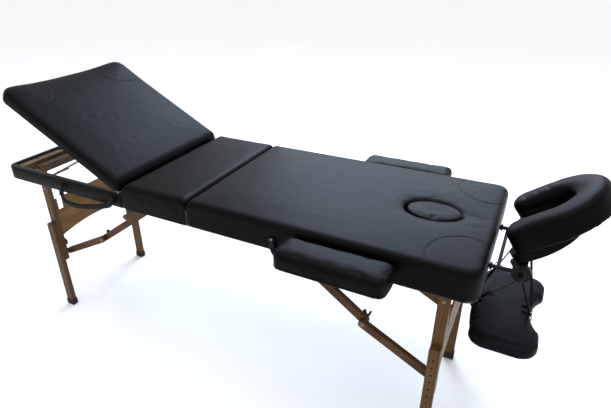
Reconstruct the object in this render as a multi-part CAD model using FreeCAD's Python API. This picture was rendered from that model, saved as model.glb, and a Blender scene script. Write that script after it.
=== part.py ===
import FreeCAD
import Part
import math
import os

# Portable folding massage table, in millimetres, +Z up.
# X runs along the table: the backrest end is at -X and the face-cradle end at +X.
# Y runs across it, with the front side at -Y. The floor is z = 0.
# The parts are drawn with x = 0 at the centre fold, and SHIFT_X then centres the whole outline.

V = FreeCAD.Vector
AXIS_X, AXIS_Y, AXIS_Z = V(1, 0, 0), V(0, 1, 0), V(0, 0, 1)
OUT = "parts"

# ---- driving sizes -------------------------------------------------------------------------
SHIFT_X = -133.9        # moves the drawing so that the outline is centred on the origin
HALF_LENGTH = 925.0     # each half, fold to end
HALF_WIDTH = 300.0
CORNER_R = 42.0         # plan radius of the four outer corners
RAIL_LOW, RAIL_TOP = 672.0, 722.0
RAIL_THICK = 22.0
VINYL = 3.0             # vinyl wrapped round the frame
DECK_THICK = 6.0
PAD_TOP = 769.0
PAD_EDGE_R = 14.0
FOLD_GAP = 1.5          # half of the gap between the two halves
FIT = 0.08              # running clearance round a pin that turns

DECK_TOP = RAIL_TOP + DECK_THICK
RAIL_OUT = HALF_WIDTH - VINYL          # outer face of the side rails
RAIL_IN = RAIL_OUT - RAIL_THICK        # inner face of the side rails
END_OUT = HALF_LENGTH - VINYL
END_THICK = 20.0
END_IN = END_OUT - END_THICK
FACE_HOLE_X = 735.0
FACE_HOLE_HALF = (85.0, 62.5)
HOLE_RIM = 12.0                        # width of the deck's rim under the plug
PLUG_PROUD = 2.0                       # how far the plug stands above the pad
SOCKET_BLOCK_X = 866.0
SOCKET_BLOCK_Y = (62.0, 262.0)
SOCKET_BLOCK_Z = (676.0, 716.0)
SCREW_SLOT_Y = (180.0, 186.0)          # shallow slot in the top of each block
SEAT_END = -292.0                      # seat pad, at deck level
SEAT_BEVEL = 17.0                      # how far its top edge is set back

# ---- legs ----------------------------------------------------------------------------------
LEG_X, LEG_PIVOT_Z = 835.0, 691.0
LEG_WIDE = 34.0
LEG_R = LEG_WIDE / 2
UPPER_LEG_Y = (200.0, 220.0)
LOWER_LEG_Y = (221.0, 243.0)
UPPER_LEG_END = 245.0
LOWER_LEG_TOP = 440.0
FOOT_SOLE, FOOT_WALL, FOOT_HIGH = 6.0, 2.5, 30.0
STUD_Z = 325.0                         # clamp knob height
STUD_R = 3.0
SLOT_UP, SLOT_DOWN = 74.0, 114.0       # slot beyond the stud, in the lower leg
ADJUST_PITCH, ADJUST_HOLES, ADJUST_TOP = 30.0, 7, 398.0
PIVOT_ROD_R = 4.0
KNOB_R, KNOB_THICK, KNOB_LOBES = 17.0, 11.0, 6
FLUTE_RING_R, FLUTE_R = 20.0, 6.0      # hollows between the knob lobes
PANEL_X = (847.0, 852.0)               # flush with the legs' outer faces
PANEL_TOP, PANEL_SIDE_LOW, PANEL_MID_LOW = 530.0, 346.0, 372.0
PANEL_NOTCH_DEEP = 56.0                # notches that the folding braces' ends swing through

# ---- folding braces ------------------------------------------------------------------------
BRACE_WIDE = 28.0
UPPER_BRACE_Y = (149.0, 167.0)
LOWER_BRACE_Y = (168.0, 186.0)
BRACE_INSET = 3.0                      # braces fold this far inside the legs' centre lines
ANCHOR_X, ANCHOR_Z = 170.0, LEG_PIVOT_Z + BRACE_INSET
BRACE_DROP = 420.0                     # brace pivot on the leg, below the leg pivot
BRACE_SLACK = 1.8                      # how far the two links together exceed the span
BRACE_PIN_R, SPACER_R = 4.0, 8.0
BRACE_FOOT = (LEG_X - BRACE_INSET, LEG_PIVOT_Z - BRACE_DROP)

# ---- backrest ------------------------------------------------------------------------------
HINGE_X, HINGE_Z = -300.0, 715.0
BACK_TILT = 27.5                       # degrees, as set up
BOARD_LOW = RAIL_TOP + 0.3
BOARD_TOP = BOARD_LOW + 8.7
PROP_ARM = 215.0                       # hinge to prop pivot, and prop pivot to prop foot
PROP_R = 4.0
PROP_Y = 270.0
PROP_FOOT_IN = 195.0                   # inner end of each foot, outside the folding braces
PROP_TILTS = (12.0, 20.0, 27.5, 36.0, 44.0)
RACK_X = (-748.0, -560.0)
RACK_Y = 263.0                         # inner face of the notched racks
RACK_LOW = 684.0
CLIP_HALF_X, CLIP_Y = 9.0, (100.0, 125.0)
BACK_BEVEL = 20.0                      # set-back of the pad's top edge at the hinge
HINGE_RAIL_Z = (709.5, 721.5)          # thin enough for the folded legs to pass under it

# ---- centre fold hinge ---------------------------------------------------------------------
FOLD_Z = RAIL_LOW - 2.5
KNUCKLE_R = 3.5
PIN_R = 1.6
LEAF_THICK = 1.6
HINGE_PITCH = 40.0
HINGE_KNUCKLES = 13
HINGE_Y0 = -HINGE_PITCH * HINGE_KNUCKLES / 2

# ---- face cradle and arm shelf -------------------------------------------------------------
CRADLE_X, CRADLE_Z = 1008.0, 693.0     # tilt axis
CRADLE_ROD_Y, CRADLE_ROD_R = 120.0, 6.0
CRADLE_TILT = 36.0
SHELF_Z = (462.0, 494.0)
SHELF_X = (894.0, 1096.0)
SHELF_HALF_Y = 202.0
SHELF_CORNER_R = 56.0
WAIST, WAIST_HALF = 30.0, 98.0         # depth and half length of the curved-in outer edge
# In the cradle's own tilted plane, u runs outwards from the near end and w is the height
# above the axle; both are turned by CRADLE_TILT about the axle.
PLATFORM_W = (28.0, 58.0)
PLATFORM_HALF = 124.0
CUSHION_W = (60.0, 128.0)
CROSS_BAR_X = 948.0
AXLE_R, AXLE_HALF = 5.0, 158.0
HUB_R, HUB_HALF = 26.0, 7.0
STRAP_WIDE, STRAP_THICK = 8.0, 2.0
SLEEVE_Y = 151.0

# ---- armrests ------------------------------------------------------------------------------
ARM_X = (385.0, 715.0)
ARM_Y = (307.0, 415.0)
ARM_Z = (693.0, 750.0)
ARM_ROD_X = (450.0, 650.0)
ARM_ROD_Z, ARM_ROD_R = 704.0, 5.0
ARM_PLATE_Z = (694.0, 714.0)

# ---- carrying strap, as (x, z) points down the middle of the band --------------------------
STRAP_ROUTE = [(-590, 706), (-596, 655), (-574, 636), (-520, 634), (-435, 650), (-356, 674),
               (-334, 690), (-326, 710)]
CARRY_WIDE = 20.0
CARRY_Y = (-313.0, -309.0)


# ---- drawing helpers -----------------------------------------------------------------------
def box(x0, x1, y0, y1, z0, z1):
    return Part.makeBox(x1 - x0, y1 - y0, z1 - z0, V(x0, y0, z0))


def rod(start, end, radius):
    line = end - start
    return Part.makeCylinder(radius, line.Length, start, line)


def rod_y(x, z, radius, y0, y1):
    return Part.makeCylinder(radius, y1 - y0, V(x, y0, z), AXIS_Y)


def prism(points, direction):
    """Straight prism on a closed polygon of vectors."""
    return Part.Face(Part.makePolygon(points + points[:1])).extrude(direction)


def prism_y(outline, y0, y1):
    """Prism between two y values on an outline of (x, z) pairs."""
    return prism([V(x, y0, z) for x, z in outline], V(0, y1 - y0, 0))


def link(start, end, wide, y0, y1):
    """Flat bar with round ends between two (x, z) points."""
    a, b = V(start[0], y0, start[1]), V(end[0], y0, end[1])
    along = (b - a).normalize()
    side = along.cross(AXIS_Y) * (wide / 2)
    body = prism([a + side, b + side, b - side, a - side], V(0, y1 - y0, 0))
    ends = [Part.makeCylinder(wide / 2, y1 - y0, p, AXIS_Y) for p in (a, b)]
    return body.fuse(ends).removeSplitter()


def plan(inset, z0, z1):
    """The long half's outline in plan, with its two outer corners rounded."""
    x1, y1, r = HALF_LENGTH - inset, HALF_WIDTH - inset, CORNER_R - inset
    x0, bend = FOLD_GAP, (1 - math.sqrt(0.5)) * r
    corners = []
    for sign in (-1, 1):
        corners.append(Part.Arc(V(x1 - r, sign * y1, z0), V(x1 - bend, sign * (y1 - bend), z0),
                                V(x1, sign * (y1 - r), z0)).toShape())
    sides = [Part.makeLine(V(x0, -y1, z0), V(x1 - r, -y1, z0)),
             Part.makeLine(V(x1, -y1 + r, z0), V(x1, y1 - r, z0)),
             Part.makeLine(V(x1 - r, y1, z0), V(x0, y1, z0)),
             Part.makeLine(V(x0, y1, z0), V(x0, -y1, z0))]
    wire = Part.Wire([sides[0], corners[0], sides[1], corners[1], sides[2], sides[3]])
    return Part.Face(wire).extrude(V(0, 0, z1 - z0))


def flip_x(shape):
    """The same piece on the other half, mirrored about the fold."""
    return shape.mirror(V(0, 0, 0), AXIS_X)


def flip_y(shape):
    return shape.mirror(V(0, 0, 0), AXIS_Y)


def both_sides(shape):
    """A rear piece and its mirrored front twin, as separate solids."""
    return Part.makeCompound([shape, flip_y(shape)])


def turned(shape, degrees, x, z):
    """Turned about a Y axis through (x, z); positive raises the +X side."""
    copy = shape.copy()
    copy.rotate(V(x, 0, z), AXIS_Y, -degrees)
    return copy


def edges_at(shape, test):
    return [e for e in shape.Edges if all(test(v.Point) for v in e.Vertexes)]


def soften_top(shape, radius, top):
    """Round every edge that lies at the given height."""
    return shape.makeFillet(radius, edges_at(shape, lambda p: abs(p.z - top) < 0.01))


def save(name, shape):
    placed = shape.copy()
    placed.translate(V(SHIFT_X, 0, 0))
    placed.exportStep(os.path.join(OUT, name + ".step"))


# ---- frame, deck and pads ------------------------------------------------------------------
def side_rails():
    rail = box(FOLD_GAP, END_OUT, RAIL_IN, RAIL_OUT, RAIL_LOW, RAIL_TOP)
    rail = rail.common(plan(VINYL, RAIL_LOW, RAIL_TOP))
    return both_sides(rail.cut(rod_y(LEG_X, LEG_PIVOT_Z, PIVOT_ROD_R, 200, 290)))


def end_rail():
    rail = box(END_IN, END_OUT, -RAIL_IN, RAIL_IN, RAIL_LOW, RAIL_TOP)
    return rail.common(plan(VINYL, RAIL_LOW, RAIL_TOP)).cut(cradle_bores())


def fold_rail():
    """Rail beside the fold, relieved along its lower edge for the hinge knuckles."""
    rail = box(FOLD_GAP, FOLD_GAP + RAIL_THICK, -RAIL_IN, RAIL_IN, RAIL_LOW, RAIL_TOP)
    return rail.cut(rod_y(0, FOLD_Z, KNUCKLE_R + 0.3, -RAIL_IN - 1, RAIL_IN + 1))


def cradle_bores():
    bore = rod(V(LEG_X, CRADLE_ROD_Y, CRADLE_Z), V(HALF_LENGTH + 5, CRADLE_ROD_Y, CRADLE_Z),
               CRADLE_ROD_R + FIT)
    return both_sides(bore)


def socket_blocks():
    """Wood blocks that take the cradle rods, with a shallow screw slot in their top."""
    block = box(SOCKET_BLOCK_X, END_IN, *SOCKET_BLOCK_Y, *SOCKET_BLOCK_Z)
    top = SOCKET_BLOCK_Z[1]
    slot = box(SOCKET_BLOCK_X + 8, SOCKET_BLOCK_X + 26, *SCREW_SLOT_Y, top - 5, top + 1)
    return both_sides(block.cut(slot)).cut(cradle_bores())


def face_hole(shrink, z0, z1):
    """Oval column on the face hole's centre."""
    major, minor = FACE_HOLE_HALF[0] - shrink, FACE_HOLE_HALF[1] - shrink
    ring = Part.Ellipse(V(FACE_HOLE_X, 0, z0), major, minor)
    return Part.Face(Part.Wire(ring.toShape())).extrude(V(0, 0, z1 - z0))


def long_deck():
    return plan(VINYL, RAIL_TOP, DECK_TOP).cut(face_hole(HOLE_RIM, RAIL_TOP - 1, DECK_TOP + 1))


def long_pad():
    pad = soften_top(plan(0, DECK_TOP, PAD_TOP), PAD_EDGE_R, PAD_TOP)
    return pad.cut(face_hole(0, DECK_TOP - 1, PAD_TOP + 1))


def face_hole_plug():
    """Oval plug that closes the face hole and rests on the deck's narrower rim."""
    top = PAD_TOP + PLUG_PROUD
    pad = soften_top(face_hole(1.5, DECK_TOP + 0.3, top), 8, top)
    spigot = face_hole(HOLE_RIM + 1.5, RAIL_TOP, DECK_TOP + 0.3)
    return pad.fuse(spigot)


def armrest_bores():
    bores = [rod_y(x, ARM_ROD_Z, ARM_ROD_R + FIT, RAIL_IN - 20, HALF_WIDTH + 5) for x in ARM_ROD_X]
    return Part.makeCompound(bores + [flip_y(b) for b in bores])


def long_skirt():
    skirt = plan(0, RAIL_LOW, DECK_TOP).cut(plan(VINYL, RAIL_LOW - 1, DECK_TOP + 1))
    return skirt.cut(cradle_bores()).cut(armrest_bores())


def seat_deck():
    return box(SEAT_END, -FOLD_GAP, -RAIL_OUT, RAIL_OUT, RAIL_TOP, DECK_TOP)


def seat_pad():
    outline = [(SEAT_END, DECK_TOP), (-FOLD_GAP, DECK_TOP), (-FOLD_GAP, PAD_TOP),
               (SEAT_END + SEAT_BEVEL, PAD_TOP)]
    return soften_top(prism_y(outline, -HALF_WIDTH, HALF_WIDTH), 8, PAD_TOP)


def back_side_vinyl():
    """Vinyl on the seat's sides, and the vinyl-wrapped outside of the open frame."""
    shell = flip_x(plan(0, RAIL_LOW, DECK_TOP).cut(plan(VINYL, RAIL_LOW - 1, DECK_TOP + 1)))
    shell = shell.cut(flip_x(cradle_bores()))
    seat = shell.common(box(SEAT_END, 0, -400, 400, 600, 800))
    frame = shell.common(box(-HALF_LENGTH, SEAT_END - 1, -400, 400, 600, RAIL_TOP))
    return Part.makeCompound(seat.Solids + frame.Solids)


def backrest_hinge_rail():
    """Flat rail across the frame, under the seat's end."""
    return box(HINGE_X + 5, HINGE_X + 63, -RAIL_IN, RAIL_IN, *HINGE_RAIL_Z)


# ---- backrest ------------------------------------------------------------------------------
def backrest_board():
    board = flip_x(plan(VINYL, BOARD_LOW, BOARD_TOP))
    board = board.common(box(-HALF_LENGTH, HINGE_X - 7, -400, 400, 700, 800))
    return turned(board, -BACK_TILT, HINGE_X, HINGE_Z)


def backrest_pad():
    """Pad with a set-back front edge, which clears the seat pad up to full tilt."""
    pad = flip_x(plan(0, BOARD_TOP, PAD_TOP))
    low, high = HINGE_X - 7, HINGE_X - 7 - BACK_BEVEL
    keep = [(-HALF_LENGTH - 1, BOARD_TOP - 1), (low, BOARD_TOP - 1), (low, BOARD_TOP),
            (high, PAD_TOP), (high, PAD_TOP + 1), (-HALF_LENGTH - 1, PAD_TOP + 1)]
    pad = soften_top(pad.common(prism_y(keep, -400, 400)), 10, PAD_TOP)
    return turned(pad, -BACK_TILT, HINGE_X, HINGE_Z)


def knuckles(x, z, y0, count, pitch, first):
    """Every second knuckle of a butt hinge, bored for its pin."""
    rings = []
    for i in range(first, count, 2):
        start = y0 + i * pitch
        ring = rod_y(x, z, KNUCKLE_R, start + 0.2, start + pitch - 0.2)
        rings.append(ring.cut(rod_y(x, z, PIN_R + 0.08, start - 1, start + pitch + 1)))
    return rings


def leaf(plates, x, z, first):
    """Leaf plates joined to their knuckles, cleared round the other leaf's knuckles."""
    other = [rod_y(x, z, KNUCKLE_R + 0.3, HINGE_Y0 + i * HINGE_PITCH - 0.2,
                   HINGE_Y0 + (i + 1) * HINGE_PITCH + 0.2)
             for i in range(1 - first, HINGE_KNUCKLES, 2)]
    bore = rod_y(x, z, PIN_R + 0.08, HINGE_Y0 - 2, -HINGE_Y0 + 2)
    sheet = plates[0]
    for plate in plates[1:]:
        sheet = sheet.fuse(plate)
    sheet = sheet.cut(other).cut(bore)
    rings = knuckles(x, z, HINGE_Y0, HINGE_KNUCKLES, HINGE_PITCH, first)
    return sheet.fuse(rings).removeSplitter()


def fold_leaf(first):
    """Long half's leaf, flat on the underside of its fold rail."""
    plate = box(0.8, 21, HINGE_Y0, -HINGE_Y0, RAIL_LOW - LEAF_THICK, RAIL_LOW)
    return leaf([plate], 0, FOLD_Z, first)


def fold_pins():
    return rod_y(0, FOLD_Z, PIN_R, HINGE_Y0, -HINGE_Y0)


def backrest_rail_leaf():
    """Leaf on the hinge rail's outer edge, with the backrest's hinge pin in its knuckles."""
    plate = box(HINGE_X + 3.2, HINGE_X + 4.8, HINGE_Y0, -HINGE_Y0, *HINGE_RAIL_Z)
    web = box(HINGE_X + 1.5, HINGE_X + 4.8, HINGE_Y0, -HINGE_Y0, HINGE_Z - 1.2, HINGE_Z + 1.2)
    return leaf([plate, web], HINGE_X, HINGE_Z, 0)


def backrest_pin():
    return rod_y(HINGE_X, HINGE_Z, PIN_R, HINGE_Y0, -HINGE_Y0)


def backrest_leaf():
    """Leaf under the backrest board."""
    plate = box(HINGE_X - 30, HINGE_X - 7.5, HINGE_Y0, -HINGE_Y0, BOARD_LOW - LEAF_THICK, BOARD_LOW)
    web = prism_y([(HINGE_X - 9.5, BOARD_LOW), (HINGE_X - 1.2, HINGE_Z + 2.2),
                   (HINGE_X - 2.4, HINGE_Z + 0.8), (HINGE_X - 10.5, BOARD_LOW - LEAF_THICK)],
                  HINGE_Y0, -HINGE_Y0)
    return turned(leaf([plate, web], HINGE_X, HINGE_Z, 1), -BACK_TILT, HINGE_X, HINGE_Z)


def prop_points():
    """Prop pivot on the backrest and prop foot, both as (x, z)."""
    tilt = math.radians(BACK_TILT)
    pivot = (HINGE_X - PROP_ARM * math.cos(tilt), HINGE_Z + PROP_ARM * math.sin(tilt))
    return pivot, (HINGE_X - 2 * PROP_ARM * math.cos(tilt), HINGE_Z)


def backrest_prop():
    """Bent steel rod: the pivot bar across the top, two legs and a foot on each."""
    top, foot = prop_points()
    bars = []
    for y, inner in ((PROP_Y - PROP_R - 1, PROP_FOOT_IN), (-PROP_Y + PROP_R + 1, -PROP_Y)):
        bars.append(rod(V(top[0], y, top[1]), V(foot[0], y, foot[1]), PROP_R - 0.2))
        bars.append(rod_y(*foot, PROP_R, inner, inner + PROP_Y - PROP_FOOT_IN))
    return rod_y(*top, PROP_R, -PROP_Y, PROP_Y).fuse(bars)


def backrest_clips():
    """Two saddles that hold the prop's pivot bar under the board."""
    x = HINGE_X - PROP_ARM
    clip = box(x - CLIP_HALF_X, x + CLIP_HALF_X, *CLIP_Y, HINGE_Z - 7, BOARD_LOW)
    clip = clip.cut(rod_y(x, HINGE_Z, PROP_R + 0.1, 90, 135))
    return turned(both_sides(clip), -BACK_TILT, HINGE_X, HINGE_Z)


def prop_racks():
    """Notched strips inside the side rails; each notch takes the prop's foot bar."""
    tip = HINGE_Z - PROP_R - 0.4
    rack = box(*RACK_X, RACK_Y, RAIL_IN, RACK_LOW, tip)
    for tilt in PROP_TILTS:
        foot = HINGE_X - 2 * PROP_ARM * math.cos(math.radians(tilt))
        rack = rack.cut(box(foot - 6, foot - 3, RACK_Y - 3, RAIL_IN + 3, tip - 7, tip + 1))
    return both_sides(rack)


# ---- legs and braces -----------------------------------------------------------------------
def brace_knee():
    """Knee place of the folding brace, from the pivots at its two ends.

    The links fold flat: with the leg folded, both lie on the line of the pivots.
    """
    run, drop = BRACE_FOOT[0] - ANCHOR_X, ANCHOR_Z - BRACE_FOOT[1]
    span = math.hypot(run, drop)
    total, difference = span + BRACE_SLACK, (LEG_X - BRACE_DROP) - ANCHOR_X
    upper, lower = (total + difference) / 2, (total - difference) / 2
    knee_angle = math.acos((upper ** 2 + span ** 2 - lower ** 2) / (2 * upper * span))
    slope = math.atan2(drop, run) + knee_angle
    return ANCHOR_X + upper * math.cos(slope), ANCHOR_Z - upper * math.sin(slope)


def upper_legs():
    y0, y1 = UPPER_LEG_Y
    leg = box(LEG_X - LEG_R, LEG_X + LEG_R, y0, y1, UPPER_LEG_END, LEG_PIVOT_Z)
    leg = leg.fuse(rod_y(LEG_X, LEG_PIVOT_Z, LEG_R, y0, y1)).removeSplitter()
    for x, z, radius in ((LEG_X, LEG_PIVOT_Z, PIVOT_ROD_R + FIT), (LEG_X, STUD_Z, STUD_R + FIT),
                         (*BRACE_FOOT, BRACE_PIN_R)):
        leg = leg.cut(rod_y(x, z, radius, y0 - 5, y1 + 5))
    return both_sides(leg)


def head_rail():
    rail = box(LEG_X - 13, LEG_X + 13, -UPPER_LEG_Y[0], UPPER_LEG_Y[0], 676, 706)
    return rail.cut(rod_y(LEG_X, LEG_PIVOT_Z, PIVOT_ROD_R + FIT, -300, 300))


def leg_pivot_rod():
    return rod_y(LEG_X, LEG_PIVOT_Z, PIVOT_ROD_R, -290, 290)


def leg_panel():
    """Plywood panel between the two upper legs: a shallow arch below, two notches above."""
    x0, x1 = PANEL_X
    y = UPPER_LEG_Y[0]
    arch = Part.Arc(V(x0, -y, PANEL_SIDE_LOW), V(x0, 0, PANEL_MID_LOW),
                    V(x0, y, PANEL_SIDE_LOW)).toShape()
    sides = Part.makePolygon([V(x0, y, PANEL_SIDE_LOW), V(x0, y, PANEL_TOP),
                              V(x0, -y, PANEL_TOP), V(x0, -y, PANEL_SIDE_LOW)])
    panel = Part.Face(Part.Wire([arch] + sides.Edges)).extrude(V(x1 - x0, 0, 0))
    notch = box(x0 - 1, x1 + 1, UPPER_BRACE_Y[0] - 4, UPPER_BRACE_Y[1] + 4,
                PANEL_TOP - PANEL_NOTCH_DEEP, PANEL_TOP + 1)
    return panel.cut([notch, flip_y(notch)])


def lower_leg():
    """Rear lower leg: a slot for the clamp stud, and a row of adjusting holes."""
    y0, y1 = LOWER_LEG_Y
    leg = box(LEG_X - LEG_R, LEG_X + LEG_R, y0, y1, FOOT_SOLE, LOWER_LEG_TOP)
    top = edges_at(leg, lambda p: p.z > LOWER_LEG_TOP - 1)
    leg = leg.makeFillet(5, [e for e in top if abs(e.Vertexes[0].Y - e.Vertexes[1].Y) > 5])
    slot = link((LEG_X, STUD_Z + SLOT_UP), (LEG_X, STUD_Z - SLOT_DOWN), 8, y0 - 1, y0 + 6)
    leg = leg.cut(slot)
    for i in range(ADJUST_HOLES):
        leg = leg.cut(rod_y(LEG_X, ADJUST_TOP - i * ADJUST_PITCH, 3.5, y0 - 1, y1 + 1))
    return leg


def foot():
    """Rubber shoe on the lower leg."""
    y0, y1 = LOWER_LEG_Y
    shoe = box(LEG_X - LEG_R - FOOT_WALL, LEG_X + LEG_R + FOOT_WALL,
               y0 - FOOT_WALL, y1 + FOOT_WALL, 0, FOOT_HIGH)
    shoe = shoe.makeFillet(3, edges_at(shoe, lambda p: p.z < 1))
    return shoe.cut(box(LEG_X - LEG_R, LEG_X + LEG_R, y0, y1, FOOT_SOLE, FOOT_HIGH + 1))


def leg_knob():
    """Rear clamp knob on its stud, on the inner side of the upper leg."""
    y1 = UPPER_LEG_Y[0] - 0.5
    knob = rod_y(LEG_X, STUD_Z, KNOB_R, y1 - KNOB_THICK, y1)
    for i in range(KNOB_LOBES):
        angle = 2 * math.pi * i / KNOB_LOBES
        x, z = LEG_X + FLUTE_RING_R * math.cos(angle), STUD_Z + FLUTE_RING_R * math.sin(angle)
        knob = knob.cut(rod_y(x, z, FLUTE_R, y1 - KNOB_THICK - 1, y1 + 1))
    return knob.fuse(rod_y(LEG_X, STUD_Z, STUD_R, y1 - 2, LOWER_LEG_Y[0] + 4))


def upper_braces():
    bar = link((ANCHOR_X, ANCHOR_Z), brace_knee(), BRACE_WIDE, *UPPER_BRACE_Y)
    return both_sides(bar.cut(rod_y(ANCHOR_X, ANCHOR_Z, BRACE_PIN_R + FIT, 100, 200)))


def lower_braces():
    bar = link(brace_knee(), BRACE_FOOT, BRACE_WIDE, *LOWER_BRACE_Y)
    return both_sides(bar.cut(rod_y(*BRACE_FOOT, BRACE_PIN_R + FIT, 100, 200)))


def brace_pins():
    """Bolt and spacer that hold each lower brace off its leg, flush with the brace's inner face."""
    pin = rod_y(*BRACE_FOOT, BRACE_PIN_R, LOWER_BRACE_Y[0] + 0.5, UPPER_LEG_Y[1])
    spacer = rod_y(*BRACE_FOOT, SPACER_R, LOWER_BRACE_Y[1] + 0.4, UPPER_LEG_Y[0])
    return both_sides(pin.fuse(spacer).removeSplitter())


def brace_anchors():
    """Steel bracket under the deck, with the pin that the upper brace turns on."""
    y0 = UPPER_BRACE_Y[0]
    plate = box(ANCHOR_X - 22, ANCHOR_X + 22, y0 - 28, y0 - 2, RAIL_TOP - 3, RAIL_TOP)
    cheek = box(ANCHOR_X - 14, ANCHOR_X + 14, y0 - 5, y0 - 1, ANCHOR_Z - 12, RAIL_TOP - 1)
    pin = rod_y(ANCHOR_X, ANCHOR_Z, BRACE_PIN_R, y0 - 3, UPPER_BRACE_Y[1] + 0.4)
    return both_sides(plate.fuse([cheek, pin]).removeSplitter())


# ---- armrests ------------------------------------------------------------------------------
def armrest_pad():
    pad = box(*ARM_X, *ARM_Y, *ARM_Z)
    upright = [e for e in pad.Edges if abs(e.Vertexes[0].Z - e.Vertexes[1].Z) > 10]
    pad = pad.makeFillet(26, upright)
    return soften_top(pad, 14, ARM_Z[1])


def armrest_bracket():
    plate = box(ARM_ROD_X[0] - 20, ARM_ROD_X[1] + 20, 304, ARM_Y[0], *ARM_PLATE_Z)
    rods = [rod_y(x, ARM_ROD_Z, ARM_ROD_R, 262, 305) for x in ARM_ROD_X]
    return plate.fuse(rods).removeSplitter()


# ---- face cradle and arm shelf -------------------------------------------------------------
def cradle_frame():
    """Two rods that plug into the end rail, a cross bar, round hubs and the tilt axle."""
    pieces = []
    for y in (-CRADLE_ROD_Y, CRADLE_ROD_Y):
        pieces.append(rod(V(872, y, CRADLE_Z), V(CRADLE_X, y, CRADLE_Z), CRADLE_ROD_R))
        pieces.append(rod_y(CRADLE_X, CRADLE_Z, HUB_R, y - HUB_HALF, y + HUB_HALF))
    pieces.append(rod_y(CROSS_BAR_X, CRADLE_Z, AXLE_R, -CRADLE_ROD_Y, CRADLE_ROD_Y))
    pieces.append(rod_y(CRADLE_X, CRADLE_Z, AXLE_R, -AXLE_HALF, AXLE_HALF))
    return pieces[0].fuse(pieces[1:]).removeSplitter()


def horseshoe(near, far, half, arm, w0, w1):
    """U-shaped slab, open towards the table, drawn level above the axle."""
    x0, x1 = CRADLE_X + near, CRADLE_X + far
    z0 = CRADLE_Z + w0
    mid = x1 - half
    outer = Part.Arc(V(mid, half, z0), V(x1, 0, z0), V(mid, -half, z0)).toShape()
    inner_r = half - arm
    inner = Part.Arc(V(mid, -inner_r, z0), V(mid + inner_r, 0, z0), V(mid, inner_r, z0)).toShape()
    tips = []
    for sign in (-1, 1):
        outside, inside = sign * half, sign * inner_r
        tip = Part.Arc(V(x0 + arm / 2, outside, z0), V(x0, (outside + inside) / 2, z0),
                       V(x0 + arm / 2, inside, z0)).toShape()
        tips += [Part.makeLine(V(mid, outside, z0), V(x0 + arm / 2, outside, z0)), tip,
                 Part.makeLine(V(x0 + arm / 2, inside, z0), V(mid, inside, z0))]
    wire = Part.Wire(Part.__sortEdges__([outer, inner] + tips))
    return Part.Face(wire).extrude(V(0, 0, w1 - w0))


def tilted(shape):
    return turned(shape, CRADLE_TILT, CRADLE_X, CRADLE_Z)


def cradle_platform():
    """Board under the face cushion, with two ears that turn on the axle."""
    board = horseshoe(-8, 176, PLATFORM_HALF, 64, *PLATFORM_W)
    for y in (-100, 88):
        ear = link((CRADLE_X, CRADLE_Z), (CRADLE_X + 24, CRADLE_Z + PLATFORM_W[0] + 8), 26, y, y + 12)
        ear = ear.common(box(0, 2000, -400, 400, 0, CRADLE_Z + PLATFORM_W[0] + 1))
        board = board.fuse(ear.cut(rod_y(CRADLE_X, CRADLE_Z, AXLE_R + 0.3, y - 5, y + 20)))
    return tilted(board.removeSplitter())


def face_cushion():
    cushion = horseshoe(8, 272, 142, 88, *CUSHION_W)
    top = CRADLE_Z + CUSHION_W[1]
    return tilted(soften_top(cushion, 20, top))


def cam_lever():
    """Small lever on the front hub that clamps the tilt."""
    y = -CRADLE_ROD_Y - HUB_HALF - 10
    lever = link((CRADLE_X, CRADLE_Z), (CRADLE_X - 27, CRADLE_Z + 38), 13, y, y + 9)
    return lever.cut(rod_y(CRADLE_X, CRADLE_Z, AXLE_R + 0.1, y - 5, y + 20))


def arm_shelf():
    """Level padded board with rounded lobes and one waisted long side."""
    x0, x1 = SHELF_X
    y, z0 = SHELF_HALF_Y, SHELF_Z[0]
    r = SHELF_CORNER_R
    bend = (1 - math.sqrt(0.5)) * r
    inner = Part.Arc(V(x0 + 14, -y + 60, z0), V(x0, 0, z0), V(x0 + 14, y - 60, z0)).toShape()
    edges = [inner]
    for s in (-1, 1):
        edges += [Part.Arc(V(x0 + 14, s * (y - 60), z0), V(x0 + 24, s * (y - 18), z0),
                           V(x0 + 70, s * y, z0)).toShape(),
                  Part.makeLine(V(x0 + 70, s * y, z0), V(x1 - r, s * y, z0)),
                  Part.Arc(V(x1 - r, s * y, z0), V(x1 - bend, s * (y - bend), z0),
                           V(x1, s * (y - r), z0)).toShape(),
                  Part.makeLine(V(x1, s * (y - r), z0), V(x1, s * WAIST_HALF, z0))]
    edges.append(Part.Arc(V(x1, -WAIST_HALF, z0), V(x1 - WAIST, 0, z0),
                          V(x1, WAIST_HALF, z0)).toShape())
    return Part.Face(Part.Wire(Part.__sortEdges__(edges))).extrude(V(0, 0, SHELF_Z[1] - z0))


def strap(start, end):
    """Straight webbing between two points, its width along X as nearly as it can be."""
    line = end - start
    band = Part.makeBox(STRAP_WIDE, STRAP_THICK, line.Length, V(-STRAP_WIDE / 2, -STRAP_THICK / 2, 0))
    band.Placement = FreeCAD.Placement(start, FreeCAD.Rotation(AXIS_Z, line))
    return band


def shelf_straps():
    """A sleeve on each end of the axle, and two straps from each to the shelf's long edges."""
    pieces = []
    shelf = arm_shelf()
    mid = (SHELF_Z[0] + SHELF_Z[1]) / 2
    for s in (-1, 1):
        y = s * SLEEVE_Y
        sleeve = rod_y(CRADLE_X, CRADLE_Z, 8.5, y - 5, y + 5)
        legs = []
        for x in (SHELF_X[0] - 1.2, SHELF_X[1] - WAIST + 1.2):
            lean = -6 if x < CRADLE_X else 6
            band = strap(V(CRADLE_X + lean, y, CRADLE_Z - 5), V(x, s * 16, mid)).cut(shelf)
            legs.append(max(band.Solids, key=lambda solid: solid.Volume))
        bore = rod_y(CRADLE_X, CRADLE_Z, AXLE_R + 0.3, y - 9, y + 9)
        pieces.append(sleeve.fuse(legs).cut(bore))
    return Part.makeCompound(pieces)


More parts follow.
